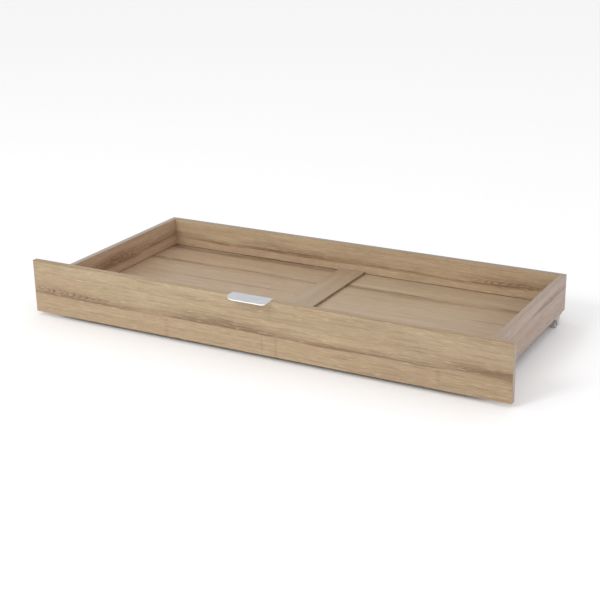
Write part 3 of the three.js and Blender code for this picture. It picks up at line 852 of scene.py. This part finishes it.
CAM_CHAMFER = 0.6 * MM
CAM_LIP = 0.4 * MM
CAM_RIM = (1.3 * MM, 1.6 * MM)  # from the outside to the top and the foot of its inner wall
CAM_FLOOR = 0.35 * MM
CAM_CROSS = (3.8 * MM, 1.7 * MM, 2.4 * MM)  # reach, width and depth
POINTER_TIP = 1.9 * MM  # from the cam's outside
POINTER_BACK = 3.0 * MM
POINTER_HALF = 1.0 * MM
POINTER_DEPTH = 0.8 * MM
FITTING_ARRIS = 0.12 * MM
SCREW_ARRIS = 0.08 * MM
SHANK = 0.48  # of the head's radius
SHANK_TIP = 0.35  # of the shank's radius
SHANK_POINT = (1.5 * MM, 4 * MM)  # from the end to the blunt tip's edge and to the full shank
DOME_ANGLES = (8, 25, 45, 65)
SCREW_CROSS = (0.55, 0.2)  # reach and width, of the head's radius
SCREW_CROSS_DEPTH = 0.8  # of the head's height
SCREW_CROSS_DEEPEST = 1.6 * MM
RAIL_HEAD = (4.7 * MM, 3.2 * MM)  # radius and height
HANDLE_HEAD = (3.5 * MM, 2.5 * MM)
CASTOR_HEAD = (3.2 * MM, 2.0 * MM)


def facing(point, direction):
    """A matrix that stands a piece's own +Z along a direction, with its origin on a point."""
    return Matrix.Translation(point) @ UPWARD.rotation_difference(direction).to_matrix().to_4x4()


def outer_face(node, direction):
    """The middle of a node's box on the side that faces a direction, and the box's depth behind it."""
    low, high = size_of(node)
    centre = (low + high) / 2
    axis = max((X, Y, Z), key=lambda candidate: abs(direction[candidate]))
    centre[axis] = high[axis] if direction[axis] > 0 else low[axis]
    return centre, (high - low)[axis]


def cross_cutter(place, reach, width, depth):
    """Cutter for a cross recess, in a face at the matrix's origin."""
    bm = bmesh.new()
    half = width / 2
    outline = [
        (half, half), (reach, half), (reach, -half), (half, -half), (half, -reach), (-half, -reach),
        (-half, -half), (-reach, -half), (-reach, half), (-half, half), (-half, reach), (half, reach),
    ]
    add_prism(bm, outline, -depth, depth, place)
    return bm


def cam(node, direction):
    """Die-cast cam with a raised rim, a cross recess and a pointer that shows where the bolt enters."""
    low, high = size_of(node)
    radius = (high - low).z / 2
    centre, depth = outer_face(node, direction)
    place = facing(centre, direction)
    profile = [
        (0, -depth), (radius - CAM_CHAMFER, -depth), (radius, -depth + CAM_CHAMFER), (radius, -CAM_LIP),
        (radius - CAM_LIP, 0), (radius - CAM_RIM[0], 0), (radius - CAM_RIM[1], -CAM_FLOOR), (0, -CAM_FLOOR),
    ]
    bm = bmesh.new()
    add_turned(bm, profile, place)
    piece = object_from(bm, f"{node}_cast")
    cut(piece, cross_cutter(place, *CAM_CROSS))
    back = radius - POINTER_BACK
    tip = [(0, radius - POINTER_TIP), (POINTER_HALF, back), (-POINTER_HALF, back)]
    pointer = bmesh.new()
    add_prism(pointer, tip, -POINTER_DEPTH, OVERRUN, place)
    cut(piece, pointer)
    eased(piece, FITTING_ARRIS, smooth_below=28)
    finished(piece, "drawer", zinc, [node])


def screw(node, direction, radius, height):
    """A screw with a domed, cross-recess head that faces a direction, in place of its CAD node."""
    point, depth = outer_face(node, direction)
    place = facing(point, direction)
    shank = radius * SHANK
    tip, full = SHANK_POINT
    profile = [(0, -depth), (shank * SHANK_TIP, -depth + tip), (shank, -depth + full), (shank, -height)]
    profile.append((radius, -height))
    for angle in map(math.radians, DOME_ANGLES):
        profile.append((radius * math.cos(angle), -height + height * math.sin(angle)))
    profile.append((0, 0))
    bm = bmesh.new()
    add_turned(bm, profile, place)
    piece = object_from(bm, f"{node}_steel")
    reach, width = SCREW_CROSS
    deep = min(height * SCREW_CROSS_DEPTH, SCREW_CROSS_DEEPEST)
    cut(piece, cross_cutter(place, radius * reach, radius * width, deep))
    eased(piece, SCREW_ARRIS, smooth_below=28)
    finished(piece, "drawer", steel, [node])


for corner in CORNERS:
    outward = RIGHTWARD if corner.endswith("right") else LEFTWARD
    for height in HEIGHTS:
        cam(f"cam_{corner}_{height}", outward if corner.startswith("front") else REARWARD)
for side in SIDES:
    screw(f"rail_screw_{side}", REARWARD, *RAIL_HEAD)
    screw(f"handle_screw_{side}", REARWARD, *HANDLE_HEAD)


# --- Handle -------------------------------------------------------------------------------------------------

PULL_SHEET = 2 * MM
PULL_BROAD, PULL_TIGHT = 32 * MM, 10 * MM  # the left and the right corner
PULL_BRIM = 1.2 * MM  # rounding of the plate's top edge
PULL_ARRIS = 0.4 * MM
SKIRT_DROP = 1.2 * MM
SKIRT_GAP = 5 * MM  # between the left end of the skirt and the board
# The painted rim highlight lies below a level this far under the plate's top, and in front of a line this far
# into the front board.
RIM_HIGHLIGHT_LEVEL = 0.4 * MM  # below the plate's top
RIM_HIGHLIGHT_BEHIND = 2 * MM  # into the front board
PULL_HOLE = (2 * MM, -3 * MM)  # radius, and how far it goes in
TOUCHING = 1e-6


def handle():
    """The lip pull: plate, skirt round the front and flange behind, bent from one sheet."""
    low, high = size_of("pull_handle")
    board_top = front_high.z

    def plan(inset, rear):
        """Outline from above, drawn in by an inset."""
        left, right, front = low.x + inset, high.x - inset, low.y + inset
        broad, tight = PULL_BROAD - inset, PULL_TIGHT - inset
        points = [(left, rear)]
        points += arc((left + broad, front + broad), broad, 180, 270, steps=28)
        points += arc((right - tight, front + tight), tight, 270, 360, steps=14)
        return points + [(right, rear)]

    level = Matrix.Identity(4)
    bm = bmesh.new()
    add_prism(bm, plan(0, high.y), low.z, high.z, level)
    brim = [edge for edge in bm.edges if all(abs(vert.co.z - high.z) < TOUCHING for vert in edge.verts)]
    bmesh.ops.bevel(bm, geom=brim, offset=PULL_BRIM, segments=6, affect="EDGES", profile=0.5)
    piece = object_from(bm, "pull_handle_metal")
    hollow = bmesh.new()
    add_prism(hollow, plan(PULL_SHEET, front_high.y), low.z - OVERRUN, board_top, level)
    cut(piece, hollow)
    middle = (low.x + high.x) / 2
    open_ends = (
        (low.x - OVERRUN, middle, front_low.y - SKIRT_GAP),
        (middle, high.x + OVERRUN, low.y + PULL_TIGHT),
    )
    for start, end, skirt_end in open_ends:
        cut_block(piece, (start, skirt_end, low.z - OVERRUN), (end, front_high.y, board_top))
    cut_block(
        piece, low - Vector((OVERRUN, OVERRUN, OVERRUN)),
        (high.x + OVERRUN, front_high.y, board_top - SKIRT_DROP),
    )
    for side in SIDES:
        screw_low, screw_high = size_of(f"handle_screw_{side}")
        centre = (screw_low + screw_high) / 2
        centre.y = high.y
        drill(piece, facing(centre, REARWARD), *PULL_HOLE, OVERRUN)
    eased(piece, PULL_ARRIS, segments=3, smooth_below=40)
    # Below this level and in front of this line the rim gets the painted highlight.
    metal = pull_metal(high.z - RIM_HIGHLIGHT_LEVEL, front_low.y + RIM_HIGHLIGHT_BEHIND)
    finished(piece, "drawer", metal, ["pull_handle"])


handle()


# --- Castors ------------------------------------------------------------------------------------------------

HOUSING_PLATE = 2.5 * MM
HOUSING_NOSE = 5.5 * MM
HOOD_HALF = 15 * MM  # half the hood's length under the plate
HOOD_FILLET = 3 * MM
HOUSING_ARRIS = 0.45 * MM
WELL_HALF, WELL_RADIUS = 5.5 * MM, 14.2 * MM
AXLE_BORE = 1.6 * MM
AXLE_BORE_HALF = 20 * MM
SCREW_HOLE = (2 * MM, -4 * MM)  # radius, and how far it goes in
SCREW_OFFSET = 22 * MM  # from the axle

WHEEL_SIDES = 96
WHEEL_BORE = 1.55 * MM
WHEEL_BORE_CHAMFER = (0.25 * MM, 0.2 * MM)
HUB = (4.1 * MM, 4.5 * MM, 0.4 * MM)  # radius at its face, radius below it, chamfer
WEB = (4.7 * MM, 5.1 * MM, 8.9 * MM, 9.3 * MM)  # radii of the web's fillets, inner pair and outer pair
WEB_FILLET, WEB_HALF = 3.4 * MM, 3.0 * MM
RIM = (9.6 * MM, 10.0 * MM)
TREAD_CROWN = 0.9 * MM
RIVET_DOME = ((1, 0.4 * MM), (0.85, 0.12 * MM), (0.5, 0), (0, 0))  # part of the radius, drop from the end


def castor_housing(corner):
    """Moulded housing: a screw plate, a tapered hood and a well for the wheel."""
    node = f"castor_housing_{corner}"
    low, high = size_of(node)
    wheel_low, wheel_high = size_of(f"castor_wheel_{corner}")
    axle = (wheel_low + wheel_high) / 2
    half = (high.y - low.y) / 2
    # The outline's two axes become Y and Z, and its depth runs along X.
    side_on = Matrix(((0, 0, 1, 0), (1, 0, 0, 0), (0, 1, 0, 0), (0, 0, 0, 1)))
    place = Matrix.Translation((low.x, axle.y, high.z)) @ side_on
    fillet_y, fillet_z = HOOD_HALF + HOOD_FILLET, -HOUSING_PLATE - HOOD_FILLET
    outline = [(-half, 0), (-half, -HOUSING_PLATE)]
    outline += arc((-fillet_y, fillet_z), HOOD_FILLET, 90, 25, steps=6)
    outline += arc((0, axle.z - high.z), HOUSING_NOSE, 195, 345, steps=20)
    outline += arc((fillet_y, fillet_z), HOOD_FILLET, 155, 90, steps=6)
    outline += [(half, -HOUSING_PLATE), (half, 0)]
    bm = bmesh.new()
    add_prism(bm, outline, 0, high.x - low.x, place)
    piece = object_from(bm, f"{node}_moulding")
    across = facing(axle, RIGHTWARD)
    drill(piece, across, WELL_RADIUS, -WELL_HALF, WELL_HALF, sides=64)
    drill(piece, across, AXLE_BORE, -AXLE_BORE_HALF, AXLE_BORE_HALF)
    for offset in (-SCREW_OFFSET, SCREW_OFFSET):
        seat = Vector((axle.x, axle.y + offset, high.z - HOUSING_PLATE))
        drill(piece, facing(seat, DOWNWARD), *SCREW_HOLE, OVERRUN)
    eased(piece, HOUSING_ARRIS, segments=3, smooth_below=32)
    finished(piece, "drawer", housing_plastic, [node])


def castor_wheel(corner):
    """Moulded wheel: crowned tread, recessed web with a rib round the rim, and a hub."""
    node = f"castor_wheel_{corner}"
    low, high = size_of(node)
    radius = (high.z - low.z) / 2
    half = (high.x - low.x) / 2
    hub_face, hub_side, hub_chamfer = HUB
    side = [
        (WHEEL_BORE, half - WHEEL_BORE_CHAMFER[1]), (WHEEL_BORE + WHEEL_BORE_CHAMFER[0], half),
        (hub_face, half), (hub_side, half - hub_chamfer),
        (WEB[0], WEB_FILLET), (WEB[1], WEB_HALF), (WEB[2], WEB_HALF), (WEB[3], WEB_FILLET),
        (RIM[0], half - hub_chamfer), (RIM[1], half), (radius - TREAD_CROWN, half),
    ]
    side += arc((radius - TREAD_CROWN, half - TREAD_CROWN), TREAD_CROWN, 80, 0, steps=5)
    bm = bmesh.new()
    place = facing((low + high) / 2, RIGHTWARD)
    add_turned(bm, side + [(r, -x) for r, x in reversed(side)], place, WHEEL_SIDES)
    piece = shaded(object_from(bm, f"{node}_moulding"), smooth_below=40)
    finished(piece, f"wheel_{corner}", wheel_plastic, [node])


def castor_axle(corner):
    """Riveted pin with domed ends."""
    node = f"castor_axle_{corner}"
    low, high = size_of(node)
    half = (high.x - low.x) / 2
    radius = (high.z - low.z) / 2
    dome = [(radius * part, half - drop) for part, drop in RIVET_DOME]
    bm = bmesh.new()
    place = facing((low + high) / 2, RIGHTWARD)
    add_turned(bm, [(r, -x) for r, x in reversed(dome)] + dome, place, sides=32)
    piece = shaded(object_from(bm, f"{node}_pin"), smooth_below=40)
    finished(piece, "drawer", steel, [node])


for corner in CORNERS:
    castor_housing(corner)
    castor_wheel(corner)
    castor_axle(corner)
    for end in ("fore", "aft"):
        screw(f"castor_screw_{corner}_{end}", DOWNWARD, *CASTOR_HEAD)

# These sit inside the boards, so they keep the CAD's own meshes and only get a material.
hidden_fixings = {"cam_bolt": steel, "dowel": beech, "rail_dowel": beech}
for name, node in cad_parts.items():
    for stem, material in hidden_fixings.items():
        if name.startswith(stem):
            node.data.materials.clear()
            node.data.materials.append(material)


# --- Floor, light and camera --------------------------------------------------------------------------------

def floor():
    """A plain pale floor."""
    bm = bmesh.new()
    bmesh.ops.create_circle(bm, cap_ends=True, radius=FLOOR_RADIUS, segments=96)
    plane = object_from(bm, "floor")
    s = Shader("floor_paint")
    place = s.vector(*[s.math("MULTIPLY", axis, FLOOR_WAVES) for axis in s.axes()])
    tone = s.blend(s.noise(place), *FLOOR_COLOURS)
    plane.data.materials.append(s.set(Base_Color=tone, Roughness=FLOOR_ROUGHNESS))


def soft_light(name, place, target, size, power, colour):
    """A square area light that faces a target."""
    lamp = bpy.data.lights.new(name, "AREA")
    lamp.shape = "SQUARE"
    lamp.size = size
    lamp.energy = power
    lamp.color = colour
    holder = bpy.data.objects.new(name, lamp)
    holder.location = place
    holder.rotation_euler = (Vector(target) - Vector(place)).to_track_quat("-Z", "Y").to_euler()
    bpy.context.scene.collection.objects.link(holder)


def studio():
    """A white room that is brighter towards the front, as if lit by one long soft box behind the camera."""
    world = bpy.data.worlds.new("studio")
    world.use_nodes = True
    tree = world.node_tree
    direction = tree.nodes.new("ShaderNodeTexCoord").outputs["Generated"]
    split = tree.nodes.new("ShaderNodeSeparateXYZ")
    tree.links.new(direction, split.inputs[0])
    level = tree.nodes.new("ShaderNodeMapRange")
    level.interpolation_type = "SMOOTHSTEP"
    tree.links.new(split.outputs["Y"], level.inputs[0])
    for slot, value in enumerate((*WORLD_TURN, WORLD_BACK, WORLD_FRONT), start=1):
        level.inputs[slot].default_value = value
    tree.links.new(level.outputs[0], tree.nodes["Background"].inputs["Strength"])
    tree.nodes["Background"].inputs["Color"].default_value = (1, 1, 1, 1)
    scene = bpy.context.scene
    scene.world = world
    scene.view_settings.view_transform = "Standard"
    scene.view_settings.look = "None"
    soft_light("key", **KEY)
    soft_light("fill", **FILL)


def camera():
    """The photograph's view: azimuth from straight in front, elevation above level, and a slight roll."""
    lens = bpy.data.cameras.new("camera")
    lens.lens = CAMERA_LENS
    lens.sensor_width = CAMERA_SENSOR
    lens.clip_end = CAMERA_REACH
    eye = bpy.data.objects.new("camera", lens)
    sin_a, cos_a = math.sin(CAMERA_AZIMUTH), math.cos(CAMERA_AZIMUTH)
    sin_e, cos_e = math.sin(CAMERA_ELEVATION), math.cos(CAMERA_ELEVATION)
    back = Vector((sin_a * cos_e, -cos_a * cos_e, sin_e))
    right = Vector((cos_a, sin_a, 0))
    up = back.cross(right)
    turn = Matrix((right, up, back)).transposed() @ Matrix.Rotation(CAMERA_ROLL, 3, "Z")
    eye.matrix_world = Matrix.Translation(CAMERA_PLACE) @ turn.to_4x4()
    bpy.context.scene.collection.objects.link(eye)
    bpy.context.scene.camera = eye


floor()
studio()
camera()
